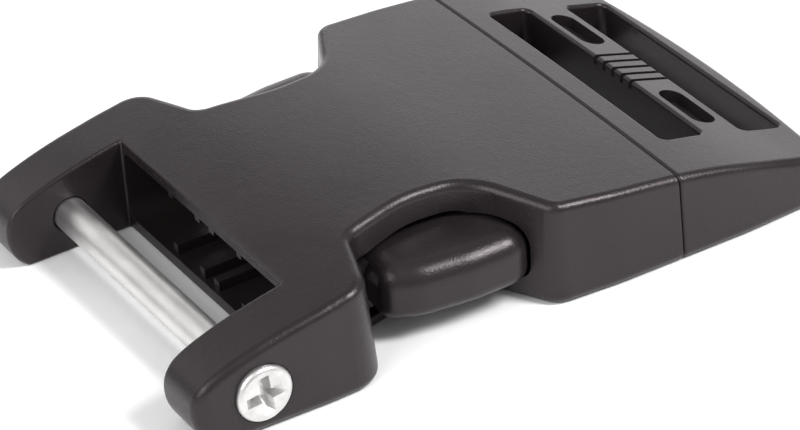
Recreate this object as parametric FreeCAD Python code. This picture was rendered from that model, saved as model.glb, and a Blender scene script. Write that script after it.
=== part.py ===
import FreeCAD, Part
import math
import os

# Side release buckle for 25 mm webbing, fastened, lying on its flat back.
# Units are millimetres. +Z is up, +Y runs from the screw pin towards the strap
# adjuster, +X is the side with the screw head. While a piece is built, y = 0 is
# the top lip of the pocket between the arms. place() then moves every piece so
# that the origin is at the middle of the buckle's length, on the table.

# driving dimensions
STRAP_GAP = 26.2        # clear width between the arms, and length of the strap slots
ARM_TIP_Y = -11.3       # round noses of the two arms
SEAM_Y = 34.15          # joint line between socket and plug
SEAM_GAP = 0.14         # open joint line between socket and plug
END_Y = 51.0            # middle of the plug's outer end
END_BOW = 1.3           # how far the plug's outer end falls back at its corners
END_RADIUS = 130.0      # curve of the plug's outer end, seen from above
END_TANGENT_RISE = 0.66  # how far beyond END_Y the end's two tangents meet
HALF_WIDTH = 19.75      # half of the widest place, on the plug
FULL_HEIGHT = 10.2      # highest place of the top
OUTER_EDGE_RADIUS = 0.8
INNER_EDGE_RADIUS = 0.3  # edges of the strap gap and of the strap slots
SEAM_EDGE_RADIUS = 0.3
CLEARANCE = 0.12        # gap kept between pieces that fit into each other

# limits that lie outside the whole buckle
BEYOND_SIDES = 30.0
BELOW_ALL = -1.0
ABOVE_ALL = 15.0
TOUCH = 0.01            # two places closer than this count as the same

# hollow of the socket
FLOOR_Z = 1.25          # top of the bottom wall
POCKET_HALF_WIDTH = 12.85
POCKET_CEILING_Z = 7.7
POCKET_FLOOR_RADIUS = 1.7
POCKET_VAULT_RADIUS = 2.5  # ceiling corners beside the windows
POCKET_VAULT_Y = 6.0    # the vaulted part starts here, deeper than the arms
HOLLOW_CORNER_RADIUS = 0.6
GAP_CORNER_RADIUS = 0.2
POCKET_END_Y = 23.4
MOUTH_HALF_WIDTH = 16.9
MOUTH_CEILING_Z = 6.8
MOUTH_START_Y = 23.0
WINDOW_X = (9.0, 12.95)  # opening through each waist, beside the pocket
WINDOW_Y = (7.3, 21.0)

# screw pin
PIN_Y = -5.35
PIN_Z = 3.5
PIN_RADIUS = 1.5
PIN_END_X = -16.8
PIN_CHAMFER = 0.4
PIN_CLEARANCE = 0.06
HEAD_RADIUS = 2.5
HEAD_FACE_X = 19.1
HEAD_THICKNESS = 1.9
CROSS_SPAN = 3.6
CROSS_WIDTH = 0.95
CROSS_BOTTOM_SPAN = 1.5
CROSS_BOTTOM_WIDTH = 0.57
CROSS_DEPTH = 1.2
CROSS_TURN = 6.0        # degrees that the cross recess is turned from upright

# strap adjuster of the plug: start and end of each piece along Y
SLOT_1 = (36.8, 40.92)
SLOT_2 = (44.9, 49.05)
SLOT_CORNER_RADIUS = 0.7
RIB_PITCH = 1.3
RIB_COUNT = 4
GROOVE_WIDTH = 0.45
GROOVE_DEPTH = 0.8
RECESS_X = 8.1          # middle of each stadium recess beside the grip ribs
RECESS_LENGTH = 6.5
RECESS_WIDTH = 2.4
RECESS_DEPTH = 1.0

# guide rails in the pocket: distance from the middle, width
RAILS = [
    (1.15, 0.8),
    (5.6, 0.7),
]
RAIL_HEIGHT = 0.95
RAIL_ROOT = 0.3         # how deep a rail starts inside the wall
RAIL_START_Y = 0.35
RAIL_END_Y = 19.0
BORE_CHAMFER = 0.15
BORE_SPARE = 0.2        # how much deeper the blind end of the bore is than the pin
HEAD_EDGE_RADIUS = 0.45

# latch of the plug
TONGUE_HALF_WIDTH = 2.4
TONGUE_TIP_Y = 5.2
TONGUE_TIP_RADIUS = 1.2
TONGUE_Z = (2.4, 6.2)
PRONG_Z = (1.9, 6.2)
BUTTON_Z = (2.15, 6.9)
BUTTON_GAP = 0.3        # gap between the button's end and the socket's shoulder
BUTTON_TOP_RADIUS = 2.0
BUTTON_FOOT_RADIUS = 1.2
BUTTON_OUTER_X = 12.6   # the edges beyond this are rounded
COLLAR_START_Y = 31.6
COLLAR_ROOT = 0.6       # how far one part of the plug reaches into the next
# outline of the near button, seen from above: (x, y, corner radius)
BUTTON_OUTLINE = [
    (9.2, 8.5, 0.0),
    (14.9, 7.95, 1.7),
    (16.4, 10.9, 4.0),
    (17.1, 15.5, 8.0),
    (17.15, 21.5, 2.4),
    (9.2, 21.5, 0.0),
]
PRONG_OUTLINE = [
    (8.9, 7.0, 0.8),
    (11.8, 7.4, 0.8),
    (11.9, 22.2, 2.0),
    (14.2, 26.5, 3.0),
    (14.6, COLLAR_START_Y + COLLAR_ROOT, 0.0),
    (11.6, COLLAR_START_Y + COLLAR_ROOT, 0.0),
    (11.4, 27.0, 3.0),
    (9.1, 21.5, 2.0),
]

# side view of the outer form, from below the flat back round the nose of the arms
# and over the top to the plug's outer end: (y, z)
NOSE_LINE = [
    (-9.0, -0.3),
    (-9.6, 0.0),
    (-10.25, 0.5),
    (-10.9, 1.5),
    (ARM_TIP_Y, 3.2),
    (-11.15, 4.5),
    (-10.45, 5.6),
    (-9.3, 6.35),
    (-7.5, 7.05),
]
TOP_LINE = [
    (-5.0, 7.8),
    (0.0, 8.84),
    (6.0, 9.85),
    (12.0, 10.2),
    (18.0, 10.05),
    (24.0, 9.45),
    (29.0, 8.87),
    (34.15, 8.2),
    (40.0, 7.02),
    (46.0, 5.2),
    (51.0, 3.8),
    (55.0, 2.8),
]
CROWN_DROP = 0.4        # how much lower the top is at x = 20 than in the middle
CROWN_AT_X = 20.0
DOME_X = 24.0           # the domed top is drawn this far to each side
WALL_SLOPE_LIMIT = 0.3  # a face whose normal rises less than this counts as a wall

# outline of the near side at the table, from the arm's tip to the outer end:
# (x, y, corner radius)
SIDE_LINE = [
    (18.6, ARM_TIP_Y - 0.7, 2.4),
    (19.15, 0.5, 14.0),
    (19.1, 5.2, 3.3),
    (12.6, 7.5, 1.0),
    (11.3, 13.2, 9.5),
    (11.75, 18.25, 4.2),
    (18.85, 22.05, 2.4),
    (19.4, SEAM_Y - 6.0, 20.0),
    (HALF_WIDTH, 41.0, 30.0),
    (19.45, END_Y - END_BOW, 2.8),
]
LEAN = 0.7              # how far every side wall leans inwards over the full height


def vec(x, y, z=0.0):
    return FreeCAD.Vector(x, y, z)


def box(x0, x1, y0, y1, z0, z1):
    return Part.makeBox(x1 - x0, y1 - y0, z1 - z0, vec(x0, y0, z0))


def mirrored(shape):
    """The mirror image on the other side of the plane x = 0."""
    return shape.mirror(vec(0, 0, 0), vec(1, 0, 0))


def rounded_outline(corners):
    """Closed wire in the plane z = 0 through corners given as (x, y, radius)."""
    count = len(corners)
    starts = []
    ends = []
    arcs = []
    for i, (x, y, radius) in enumerate(corners):
        here = vec(x, y)
        before = vec(*corners[i - 1][:2]) - here
        after = vec(*corners[(i + 1) % count][:2]) - here
        before.normalize()
        after.normalize()
        half_angle = before.getAngle(after) / 2.0
        if radius <= 0 or half_angle > math.pi / 2 - 1e-6:
            starts.append(here)
            ends.append(here)
            arcs.append(None)
            continue
        reach = radius / math.tan(half_angle)
        start = here + before * reach
        end = here + after * reach
        middle_way = before + after
        middle_way.normalize()
        centre_reach = radius / math.sin(half_angle)
        middle = here + middle_way * (centre_reach - radius)
        starts.append(start)
        ends.append(end)
        arcs.append(Part.Arc(start, middle, end).toShape())
    edges = []
    for i in range(count):
        if arcs[i] is not None:
            edges.append(arcs[i])
        following = starts[(i + 1) % count]
        if (following - ends[i]).Length > 1e-6:
            edges.append(Part.makeLine(ends[i], following))
    return Part.Wire(edges)


def prism(corners, z0, z1):
    """Upright block with the given outline."""
    wire = rounded_outline(corners)
    wire.translate(vec(0, 0, z0))
    return Part.Face(wire).extrude(vec(0, 0, z1 - z0))


def lengthwise_prism(corners, y0, y1):
    """Block along Y with an outline given as (x, z, radius)."""
    wire = rounded_outline(corners)
    wire.rotate(vec(0, 0, 0), vec(1, 0, 0), 90)
    wire.translate(vec(0, y0, 0))
    return Part.Face(wire).extrude(vec(0, y1 - y0, 0))


def tunnel(half_width, z0, z1, floor_radius, ceiling_radius, y0, y1):
    """Block along Y, centred on x = 0, with rounded floor corners and ceiling corners."""
    return lengthwise_prism([(-half_width, z0, floor_radius), (half_width, z0, floor_radius),
                             (half_width, z1, ceiling_radius),
                             (-half_width, z1, ceiling_radius)], y0, y1)


def x_cylinder(radius, x0, x1, y, z):
    return Part.makeCylinder(radius, x1 - x0, vec(x0, y, z), vec(1, 0, 0))


def x_cone(radius0, radius1, x0, x1, y, z):
    return Part.makeCone(radius0, radius1, x1 - x0, vec(x0, y, z), vec(1, 0, 0))


def side_view(x):
    """Closed outline of the outer form in the plane at x, lower away from the middle."""
    drop = CROWN_DROP * (x / CROWN_AT_X) ** 2
    points = [vec(x, y, z - drop * z / FULL_HEIGHT) for y, z in NOSE_LINE + TOP_LINE]
    line = Part.BSplineCurve()
    line.interpolate(points)
    foot = vec(x, points[-1].y, points[0].z)
    edges = [line.toShape(), Part.makeLine(points[-1], foot), Part.makeLine(foot, points[0])]
    return Part.Wire(edges)


def inset_corners(corners, inset):
    """The same outline moved inwards; corners run round against the clock."""
    moved = []
    for i, (x, y, radius) in enumerate(corners):
        here = vec(x, y)
        before = here - vec(*corners[i - 1][:2])
        after = vec(*corners[(i + 1) % len(corners)][:2]) - here
        before.normalize()
        after.normalize()
        inward = vec(-before.y - after.y, before.x + after.x)
        inward.normalize()
        reach = inset / (inward.x * -after.y + inward.y * after.x)
        turns_left = before.x * after.y - before.y * after.x > 0
        corner = here + inward * reach
        moved.append((corner.x, corner.y, radius - inset if turns_left else radius + inset))
    return moved


def plan_outline(z):
    """Closed outline of the whole buckle seen from above, at the height z."""
    far = [(-x, y, radius) for x, y, radius in reversed(SIDE_LINE)]
    outer_end = [(0.0, END_Y + END_TANGENT_RISE, END_RADIUS)]
    corners = inset_corners(SIDE_LINE + outer_end + far, LEAN * z / FULL_HEIGHT)
    wire = rounded_outline(corners)
    wire.translate(vec(0, 0, z))
    return wire


def leaning_walls(low, high):
    """Solid between two outlines: flat walls on the straights, cones on the arcs."""
    faces = [Part.Face(low), Part.Face(high)]
    for foot, head in zip(low.Edges, high.Edges):
        foot_start, foot_end = [vertex.Point for vertex in foot.Vertexes]
        head_start, head_end = [vertex.Point for vertex in head.Vertexes]
        if foot.Curve.TypeId != "Part::GeomCircle":
            around = [foot_start, foot_end, head_end, head_start, foot_start]
            faces.append(Part.Face(Part.makePolygon(around)))
            continue
        centre = foot.Curve.Center
        from_centre = foot_start - centre
        to_end = foot_end - centre
        turn = math.degrees(from_centre.getAngle(to_end))
        if from_centre.cross(to_end).z < 0:
            turn = -turn
        faces.append(Part.makeLine(foot_start, head_start).revolve(centre, vec(0, 0, 1), turn))
    shell = Part.makeShell(faces)
    shell.sewShape()
    return Part.makeSolid(shell)


def envelope():
    """The buckle's outer form without strap gap, slots, pocket or seam."""
    walls = leaning_walls(plan_outline(0.0), plan_outline(FULL_HEIGHT + 2.0))
    domed = Part.makeLoft([side_view(-DOME_X), side_view(0.0), side_view(DOME_X)], True, False)
    body = walls.common(domed).Solids[0]
    return rounded_edges(body, OUTER_EDGE_RADIUS, lambda edge: meets_wall(body, edge))


def is_wall(face):
    """Whether a face stands upright or nearly so."""
    u0, u1, v0, v1 = face.ParameterRange
    return abs(face.normalAt((u0 + u1) / 2.0, (v0 + v1) / 2.0).z) < WALL_SLOPE_LIMIT


def meets_wall(body, edge):
    """Whether an edge lies where a side wall meets the underside, nose or top."""
    faces = body.ancestorsOfType(edge, Part.Face)
    return [is_wall(face) for face in faces].count(True) == 1


def rounded_edges(shape, radius, chosen):
    """Round the edges that chosen() accepts."""
    edges = [edge for edge in shape.Edges if chosen(edge)]
    return shape.makeFillet(radius, edges)


def socket_body(outer):
    half_gap = STRAP_GAP / 2.0
    body = outer.common(box(-BEYOND_SIDES, BEYOND_SIDES, ARM_TIP_Y - 2, SEAM_Y,
                            BELOW_ALL, ABOVE_ALL))
    strap_gap = prism([(-half_gap, ARM_TIP_Y - 2, 0), (half_gap, ARM_TIP_Y - 2, 0),
                       (half_gap, 0, GAP_CORNER_RADIUS), (-half_gap, 0, GAP_CORNER_RADIUS)],
                      BELOW_ALL, ABOVE_ALL)
    body = body.cut(strap_gap).Solids[0]

    def gap_rim(edge):
        middle = edge.CenterOfMass
        inside = abs(middle.x) < half_gap + TOUCH and middle.y < TOUCH
        upright = edge.BoundBox.ZLength > FULL_HEIGHT / 2.0 and edge.BoundBox.YLength < TOUCH
        return inside and not upright

    body = rounded_edges(body, INNER_EDGE_RADIUS, gap_rim)

    pocket = tunnel(POCKET_HALF_WIDTH, FLOOR_Z, POCKET_CEILING_Z, POCKET_FLOOR_RADIUS,
                    HOLLOW_CORNER_RADIUS, -1.0, POCKET_VAULT_Y)
    vault = tunnel(POCKET_HALF_WIDTH, FLOOR_Z, POCKET_CEILING_Z, POCKET_FLOOR_RADIUS,
                   POCKET_VAULT_RADIUS, POCKET_VAULT_Y, POCKET_END_Y)
    mouth = tunnel(MOUTH_HALF_WIDTH, FLOOR_Z, MOUTH_CEILING_Z, HOLLOW_CORNER_RADIUS,
                   HOLLOW_CORNER_RADIUS, MOUTH_START_Y, SEAM_Y + 1.0)
    window = box(*WINDOW_X, *WINDOW_Y, FLOOR_Z, BUTTON_Z[1] + BUTTON_GAP)
    nook = button_block(BUTTON_GAP)
    for cutter in (pocket, vault, mouth, window, mirrored(window), nook, mirrored(nook)):
        body = body.cut(cutter)

    # guide rails in pairs on the floor and under the ceiling
    rails = []
    for side in (-1, 1):
        for x, width in RAILS:
            x0 = side * x - width / 2.0
            for z0, z1 in ((FLOOR_Z - RAIL_ROOT, FLOOR_Z + RAIL_HEIGHT),
                           (POCKET_CEILING_Z - RAIL_HEIGHT, POCKET_CEILING_Z + RAIL_ROOT)):
                rails.append(box(x0, x0 + width, RAIL_START_Y, RAIL_END_Y, z0, z1))
    body = body.fuse(rails)

    # bores for the screw pin, with a seat for its head and a chamfered far mouth
    bore = PIN_RADIUS + PIN_CLEARANCE
    seat = HEAD_RADIUS + PIN_CLEARANCE
    seat_x = HEAD_FACE_X - HEAD_THICKNESS - PIN_CLEARANCE
    holes = [
        x_cylinder(bore, PIN_END_X - BORE_SPARE, seat_x + 1.0, PIN_Y, PIN_Z),
        x_cylinder(seat, seat_x, BEYOND_SIDES, PIN_Y, PIN_Z),
        x_cone(bore, bore + BORE_CHAMFER, -half_gap - BORE_CHAMFER, -half_gap, PIN_Y, PIN_Z),
    ]
    for hole in holes:
        body = body.cut(hole)
    return body.Solids[0]


def screw_pin():
    shank_end = PIN_END_X + PIN_CHAMFER
    head_back = HEAD_FACE_X - HEAD_THICKNESS
    shank = x_cylinder(PIN_RADIUS, shank_end, head_back, PIN_Y, PIN_Z)
    point = x_cone(PIN_RADIUS - PIN_CHAMFER, PIN_RADIUS, PIN_END_X, shank_end, PIN_Y, PIN_Z)
    head = x_cylinder(HEAD_RADIUS, head_back, HEAD_FACE_X, PIN_Y, PIN_Z)
    head = rounded_edges(head, HEAD_EDGE_RADIUS,
                         lambda edge: edge.BoundBox.XMin > HEAD_FACE_X - TOUCH)
    pin = shank.fuse([point, head])

    # cross recess: two wedges that narrow towards the bottom
    face_x = HEAD_FACE_X + TOUCH
    bottom_x = HEAD_FACE_X - CROSS_DEPTH
    for turn in (0, 90):
        wide = rectangle_across(face_x, CROSS_SPAN, CROSS_WIDTH)
        narrow = rectangle_across(bottom_x, CROSS_BOTTOM_SPAN, CROSS_BOTTOM_WIDTH)
        wedge = Part.makeLoft([wide, narrow], True, True)
        wedge.rotate(vec(0, 0, 0), vec(1, 0, 0), turn + CROSS_TURN)
        wedge.translate(vec(0, PIN_Y, PIN_Z))
        pin = pin.cut(wedge)
    return pin.removeSplitter().Solids[0]


def rectangle_across(x, along_y, along_z):
    """Closed rectangle in the plane at x, with its middle on the X axis."""
    half_y = along_y / 2.0
    half_z = along_z / 2.0
    corners = [vec(x, -half_y, -half_z), vec(x, half_y, -half_z),
               vec(x, half_y, half_z), vec(x, -half_y, half_z)]
    return Part.makePolygon(corners + corners[:1])


def adjuster(outer):
    """The plug's outer block with its strap slots, ribbed bar and two recesses."""
    half_slot = STRAP_GAP / 2.0
    block = outer.common(box(-BEYOND_SIDES, BEYOND_SIDES, SEAM_Y + SEAM_GAP, END_Y + 5,
                             BELOW_ALL, ABOVE_ALL)).Solids[0]
    block = rounded_edges(block, SEAM_EDGE_RADIUS,
                          lambda edge: edge.BoundBox.YMax < SEAM_Y + SEAM_GAP + TOUCH)
    for start, end in (SLOT_1, SLOT_2):
        corner = SLOT_CORNER_RADIUS
        slot = prism([(-half_slot, start, corner), (half_slot, start, corner),
                      (half_slot, end, corner), (-half_slot, end, corner)],
                     BELOW_ALL, ABOVE_ALL)
        block = block.cut(slot).Solids[0]

        def slot_rim(edge, start=start, end=end):
            middle = edge.CenterOfMass
            inside = abs(middle.x) < half_slot + TOUCH and start - TOUCH < middle.y < end + TOUCH
            upright = edge.BoundBox.YLength < TOUCH and edge.BoundBox.XLength < TOUCH
            return inside and not upright

        block = rounded_edges(block, INNER_EDGE_RADIUS, slot_rim)

    # grooves between the grip ribs, parallel to the top of the bar
    bar_y = (SLOT_1[1] + SLOT_2[0]) / 2.0
    bar_z = height_at(bar_y)
    slope = math.degrees(math.atan2(height_at(SLOT_2[0]) - height_at(SLOT_1[1]),
                                    SLOT_2[0] - SLOT_1[1]))
    cutters = []
    for i in range(RIB_COUNT + 1):
        x = (i - RIB_COUNT / 2.0) * RIB_PITCH
        cutters.append(box(x - GROOVE_WIDTH / 2.0, x + GROOVE_WIDTH / 2.0, -3.0, 3.0,
                           -GROOVE_DEPTH, 2.0))
    half_length = RECESS_LENGTH / 2.0
    half_width = RECESS_WIDTH / 2.0
    end_radius = half_width - 0.001
    for x in (-RECESS_X, RECESS_X):
        cutters.append(prism([(x - half_length, -half_width, end_radius),
                              (x + half_length, -half_width, end_radius),
                              (x + half_length, half_width, end_radius),
                              (x - half_length, half_width, end_radius)],
                             -RECESS_DEPTH, 2.0))
    for cutter in cutters:
        cutter.rotate(vec(0, 0, 0), vec(1, 0, 0), slope)
        cutter.translate(vec(0, bar_y, bar_z))
        block = block.cut(cutter)
    return block.Solids[0]


def height_at(y):
    """Height of the top on the middle line, straight between the points of TOP_LINE."""
    for (y0, z0), (y1, z1) in zip(TOP_LINE, TOP_LINE[1:]):
        if y0 <= y <= y1:
            return z0 + (z1 - z0) * (y - y0) / (y1 - y0)
    raise ValueError("y is outside the top line")


def button_block(margin):
    """The near button with its soft outer edges, larger by the margin all round."""
    foot_z = BUTTON_Z[0] - margin
    top_z = BUTTON_Z[1] + margin
    block = prism(inset_corners(BUTTON_OUTLINE, -margin), foot_z, top_z)
    for z, radius in ((foot_z, BUTTON_FOOT_RADIUS), (top_z, BUTTON_TOP_RADIUS)):
        def outer_edge(edge, z=z):
            place = edge.BoundBox
            level = abs(place.ZMin - z) < TOUCH and abs(place.ZMax - z) < TOUCH
            return level and edge.CenterOfMass.x > BUTTON_OUTER_X

        block = rounded_edges(block, radius + margin, outer_edge)
    return block


def side_prong():
    """Near prong: a sprung arm from the collar to the squeeze button and its tip."""
    return prism(PRONG_OUTLINE, *PRONG_Z).fuse(button_block(0.0))


def latch_plug(outer):
    block = adjuster(outer)
    collar = tunnel(MOUTH_HALF_WIDTH - CLEARANCE, FLOOR_Z + CLEARANCE,
                    MOUTH_CEILING_Z - CLEARANCE, HOLLOW_CORNER_RADIUS,
                    HOLLOW_CORNER_RADIUS, COLLAR_START_Y, SEAM_Y + SEAM_GAP + COLLAR_ROOT)
    tongue = prism([(-TONGUE_HALF_WIDTH, TONGUE_TIP_Y, TONGUE_TIP_RADIUS),
                    (TONGUE_HALF_WIDTH, TONGUE_TIP_Y, TONGUE_TIP_RADIUS),
                    (TONGUE_HALF_WIDTH, COLLAR_START_Y + COLLAR_ROOT, 0),
                    (-TONGUE_HALF_WIDTH, COLLAR_START_Y + COLLAR_ROOT, 0)], *TONGUE_Z)
    prong = side_prong()
    return block.fuse([collar, tongue, prong, mirrored(prong)]).Solids[0]


def place(shape):
    """Move a piece from the working frame to the buckle's own origin."""
    moved = shape.copy()
    moved.translate(vec(0, -(ARM_TIP_Y + END_Y) / 2.0, 0))
    return moved


def main():
    outer = envelope()
    pieces = {
        "socket_body": socket_body(outer),
        "latch_plug": latch_plug(outer),
        "screw_pin": screw_pin(),
    }
    os.makedirs("parts", exist_ok=True)
    for name, shape in pieces.items():
        if not shape.isValid() or shape.ShapeType != "Solid":
            raise ValueError(name + " is not one valid solid")
        placed = place(shape)
        placed.exportStep("parts/" + name + ".step")
        size = placed.optimalBoundingBox(False)
        print(name, "volume", round(placed.Volume, 1),
              "x", round(size.XMin, 2), round(size.XMax, 2),
              "y", round(size.YMin, 2), round(size.YMax, 2),
              "z", round(size.ZMin, 2), round(size.ZMax, 2))


main()
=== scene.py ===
import bpy
import math
from mathutils import Matrix, Vector

# A fastened side release buckle on a white table, seen from the pin's near side.
# Metres, in the CAD frame: +Z up, +Y from the screw pin to the strap adjuster.

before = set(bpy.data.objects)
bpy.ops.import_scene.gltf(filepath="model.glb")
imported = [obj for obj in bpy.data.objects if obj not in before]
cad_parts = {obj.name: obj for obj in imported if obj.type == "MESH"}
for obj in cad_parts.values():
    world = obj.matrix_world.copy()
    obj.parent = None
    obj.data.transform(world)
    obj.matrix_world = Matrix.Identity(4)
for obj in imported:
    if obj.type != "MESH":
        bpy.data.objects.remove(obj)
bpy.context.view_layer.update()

# camera, worked out from the photograph's outline
CAMERA_PLACE = Vector((0.22671, -0.13324, 0.17266))
CAMERA_AZIMUTH = 59.75
CAMERA_ELEVATION = 33.26
CAMERA_ROLL = -4.02
CAMERA_LENS = 167.33
SENSOR_WIDTH = 36.0

# moulded plastic: black with a slightly warm cast
BLACK_DEEP = (0.0135, 0.0105, 0.0110, 1.0)
BLACK_PALE = (0.0172, 0.0136, 0.0142, 1.0)
BLACK_SHEEN = (1.0, 0.91, 0.935, 1.0)
PLASTIC_ROUGHNESS = (0.26, 0.32)
PLASTIC_IOR = 1.48
PLASTIC_SPECULAR = 0.42

# bright screw steel
STEEL_DARK = 0.62
STEEL_LIGHT = 0.76
STEEL_WARMTH = 0.012
STEEL_ROUGHNESS = (0.38, 0.44)

# white table
TABLE_DARK = 0.92
TABLE_LIGHT = 0.94
TABLE_ROUGHNESS = 0.7
TABLE_MOTTLES_PER_METRE = 30.0
TABLE_HALF_SIZE = 1.5
TABLE_CELLS = 8

# size of the noise in the plastic and in the steel, in metres
PLASTIC_CLOUD = 0.006
PLASTIC_PEEL = 0.0009
PLASTIC_GRAIN = 0.00018
STEEL_SMEAR = 0.0012
STEEL_LATHE = 0.00012

# part of the noise's range that colours and roughness are spread over
NOISE_LOW = 0.3
NOISE_HIGH = 0.7


def new_material(name):
    """A new material, its node tree and the one shader in it."""
    material = bpy.data.materials.new(name)
    material.use_nodes = True
    tree = material.node_tree
    tree.nodes.clear()
    output = tree.nodes.new("ShaderNodeOutputMaterial")
    shader = tree.nodes.new("ShaderNodeBsdfPrincipled")
    tree.links.new(shader.outputs["BSDF"], output.inputs["Surface"])
    return material, tree, shader


def place_of_surface(tree):
    """Coordinates in metres that are fixed to the object."""
    return tree.nodes.new("ShaderNodeTexCoord").outputs["Object"]


def noise(tree, place, scale, detail=2.0, roughness=0.5, stretch=None):
    """Noise with the given number of cells per metre; stretch scales each axis."""
    if stretch:
        mapping = tree.nodes.new("ShaderNodeMapping")
        mapping.inputs["Scale"].default_value = stretch
        tree.links.new(place, mapping.inputs["Vector"])
        place = mapping.outputs["Vector"]
    node = tree.nodes.new("ShaderNodeTexNoise")
    node.inputs["Scale"].default_value = scale
    node.inputs["Detail"].default_value = detail
    node.inputs["Roughness"].default_value = roughness
    tree.links.new(place, node.inputs["Vector"])
    return node.outputs["Fac"]


def ramp(tree, value, stops):
    """Colour ramp between two stops given as (position, colour)."""
    node = tree.nodes.new("ShaderNodeValToRGB")
    for element, (position, colour) in zip(node.color_ramp.elements, stops):
        element.position = position
        element.color = colour
    tree.links.new(value, node.inputs["Fac"])
    return node.outputs["Color"]


def spread(tree, value, limits):
    """Noise turned into a number between the two limits."""
    node = tree.nodes.new("ShaderNodeMapRange")
    node.inputs["From Min"].default_value = NOISE_LOW
    node.inputs["From Max"].default_value = NOISE_HIGH
    node.inputs["To Min"].default_value = limits[0]
    node.inputs["To Max"].default_value = limits[1]
    tree.links.new(value, node.inputs["Value"])
    return node.outputs["Result"]


def bump(tree, height, strength, distance, under=None):
    """Normal that follows the height, on top of the normal under it if there is one."""
    node = tree.nodes.new("ShaderNodeBump")
    node.inputs["Strength"].default_value = strength
    node.inputs["Distance"].default_value = distance
    tree.links.new(height, node.inputs["Height"])
    if under is not None:
        tree.links.new(under, node.inputs["Normal"])
    return node.outputs["Normal"]


def grey(value, warmth=0.0):
    """Grey colour; warmth moves it from blue towards red."""
    return (value * (1.0 + warmth), value, value * (1.0 - warmth), 1.0)


def moulded_plastic():
    """Black acetal with a fine satin grain, a faint ripple and a cloudy sheen."""
    material, tree, shader = new_material("black_acetal_moulded")
    place = place_of_surface(tree)
    cloud = noise(tree, place, 1.0 / PLASTIC_CLOUD, detail=3.0)
    grain = noise(tree, place, 1.0 / PLASTIC_GRAIN, detail=3.0, roughness=0.65)
    tree.links.new(ramp(tree, cloud, [(NOISE_LOW, BLACK_DEEP), (NOISE_HIGH, BLACK_PALE)]),
                   shader.inputs["Base Color"])
    tree.links.new(spread(tree, cloud, PLASTIC_ROUGHNESS), shader.inputs["Roughness"])
    shader.inputs["Specular IOR Level"].default_value = PLASTIC_SPECULAR
    shader.inputs["Specular Tint"].default_value = BLACK_SHEEN
    shader.inputs["IOR"].default_value = PLASTIC_IOR
    peel = noise(tree, place, 1.0 / PLASTIC_PEEL, detail=2.0)
    waves = bump(tree, peel, strength=0.25, distance=0.00005)
    satin = bump(tree, grain, strength=0.6, distance=0.00004, under=waves)
    tree.links.new(satin, shader.inputs["Normal"])
    return material


def satin_steel():
    """Bright steel with fine lathe marks round the pin and soft streaks along it."""
    material, tree, shader = new_material("bright_screw_steel")
    place = place_of_surface(tree)
    lathe = noise(tree, place, 1.0 / STEEL_LATHE, detail=2.0, stretch=(1.0, 0.06, 0.06))
    smear = noise(tree, place, 1.0 / STEEL_SMEAR, detail=3.0, stretch=(0.25, 1.0, 1.0))
    streaks = [(0.35, grey(STEEL_DARK, STEEL_WARMTH)), (0.65, grey(STEEL_LIGHT, STEEL_WARMTH))]
    tree.links.new(ramp(tree, smear, streaks), shader.inputs["Base Color"])
    shader.inputs["Metallic"].default_value = 1.0
    tree.links.new(spread(tree, smear, STEEL_ROUGHNESS), shader.inputs["Roughness"])
    marks = bump(tree, lathe, strength=0.10, distance=0.00001)
    tree.links.new(marks, shader.inputs["Normal"])
    return material


def table_surface():
    """White table with the faintest mottle."""
    material, tree, shader = new_material("white_table")
    place = place_of_surface(tree)
    mottle = noise(tree, place, TABLE_MOTTLES_PER_METRE, detail=2.0)
    tones = [(NOISE_LOW, grey(TABLE_DARK)), (NOISE_HIGH, grey(TABLE_LIGHT))]
    tree.links.new(ramp(tree, mottle, tones), shader.inputs["Base Color"])
    shader.inputs["Roughness"].default_value = TABLE_ROUGHNESS
    return material


def dress(node, material):
    """Give a CAD node its material."""
    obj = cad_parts[node]
    obj.data.materials.clear()
    obj.data.materials.append(material)


plastic = moulded_plastic()
dress("socket_body", plastic)
dress("latch_plug", plastic)
dress("screw_pin", satin_steel())


def make_table():
    """A wide flat sheet of square cells at z = 0, which the buckle lies on."""
    mesh = bpy.data.meshes.new("table_top")
    row = TABLE_CELLS + 1
    lines = [TABLE_HALF_SIZE * (2.0 * i / TABLE_CELLS - 1.0) for i in range(row)]
    verts = [(x, y, 0.0) for y in lines for x in lines]
    faces = []
    for j in range(TABLE_CELLS):
        for i in range(TABLE_CELLS):
            corner = j * row + i
            faces.append((corner, corner + 1, corner + row + 1, corner + row))
    mesh.from_pydata(verts, [], faces)
    mesh.materials.append(table_surface())
    top = bpy.data.objects.new("table_top", mesh)
    bpy.context.scene.collection.objects.link(top)


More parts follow.
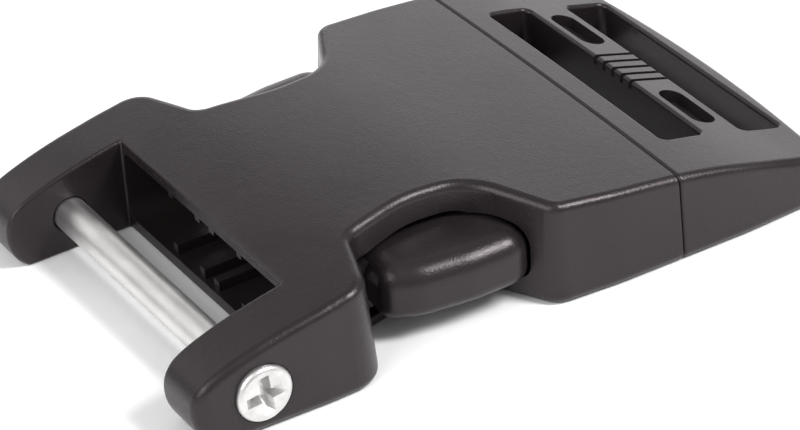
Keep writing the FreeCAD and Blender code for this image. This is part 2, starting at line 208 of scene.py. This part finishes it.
# softboxes: name, direction from the buckle, distance, width, height, power in watts;
# key_arch draws the bright lines on the rounded edges, rear_glow lightens the rear top
SOFTBOXES = [
    ("key_arch", (0.50, 0.42, 0.75), 0.50, 0.12, 0.17, 2.3),
    ("rear_glow", (-0.72, 0.55, 0.27), 0.60, 0.60, 0.36, 0.74),
    ("left_glow", (-0.75, -0.40, 0.50), 0.60, 0.50, 0.40, 0.45),
    ("front_fill", (0.20, -0.75, 0.62), 0.50, 0.35, 0.35, 1.4),
]
LIGHT_TARGET = Vector((0.0, 0.0, 0.005))
WORLD_STRENGTH = 0.44


def add_area(name, direction, distance, width, height, power):
    """A soft rectangular lamp that faces the buckle."""
    lamp = bpy.data.lights.new(name, "AREA")
    lamp.shape = "RECTANGLE"
    lamp.size = width
    lamp.size_y = height
    lamp.energy = power
    outward = Vector(direction).normalized()
    obj = bpy.data.objects.new(name, lamp)
    obj.location = LIGHT_TARGET + outward * distance
    obj.rotation_mode = "QUATERNION"
    obj.rotation_quaternion = (-outward).to_track_quat("-Z", "Y")
    bpy.context.scene.collection.objects.link(obj)


def make_light():
    """Pale world and the softboxes."""
    world = bpy.data.worlds.new("studio")
    world.use_nodes = True
    background = world.node_tree.nodes["Background"]
    background.inputs["Color"].default_value = (1.0, 1.0, 1.0, 1.0)
    background.inputs["Strength"].default_value = WORLD_STRENGTH
    bpy.context.scene.world = world
    for row in SOFTBOXES:
        add_area(*row)


def make_camera():
    """Camera at the photograph's place, turned by azimuth, elevation and roll."""
    azimuth = math.radians(CAMERA_AZIMUTH)
    elevation = math.radians(CAMERA_ELEVATION)
    roll = math.radians(CAMERA_ROLL)
    forward = Vector((-math.sin(azimuth) * math.cos(elevation),
                      math.cos(azimuth) * math.cos(elevation),
                      -math.sin(elevation)))
    level = Vector((math.cos(azimuth), math.sin(azimuth), 0.0))
    upright = level.cross(forward)
    right = level * math.cos(roll) + upright * math.sin(roll)
    up = upright * math.cos(roll) - level * math.sin(roll)
    turn = Matrix((right, up, -forward)).transposed()
    data = bpy.data.cameras.new("photo_camera")
    data.lens = CAMERA_LENS
    data.sensor_width = SENSOR_WIDTH
    data.clip_start = 0.01
    data.clip_end = 10.0
    camera = bpy.data.objects.new("photo_camera", data)
    camera.location = CAMERA_PLACE
    camera.rotation_mode = "QUATERNION"
    camera.rotation_quaternion = turn.to_quaternion()
    bpy.context.scene.collection.objects.link(camera)
    bpy.context.scene.camera = camera


make_table()
make_light()
make_camera()

bpy.context.scene.view_settings.view_transform = "Standard"
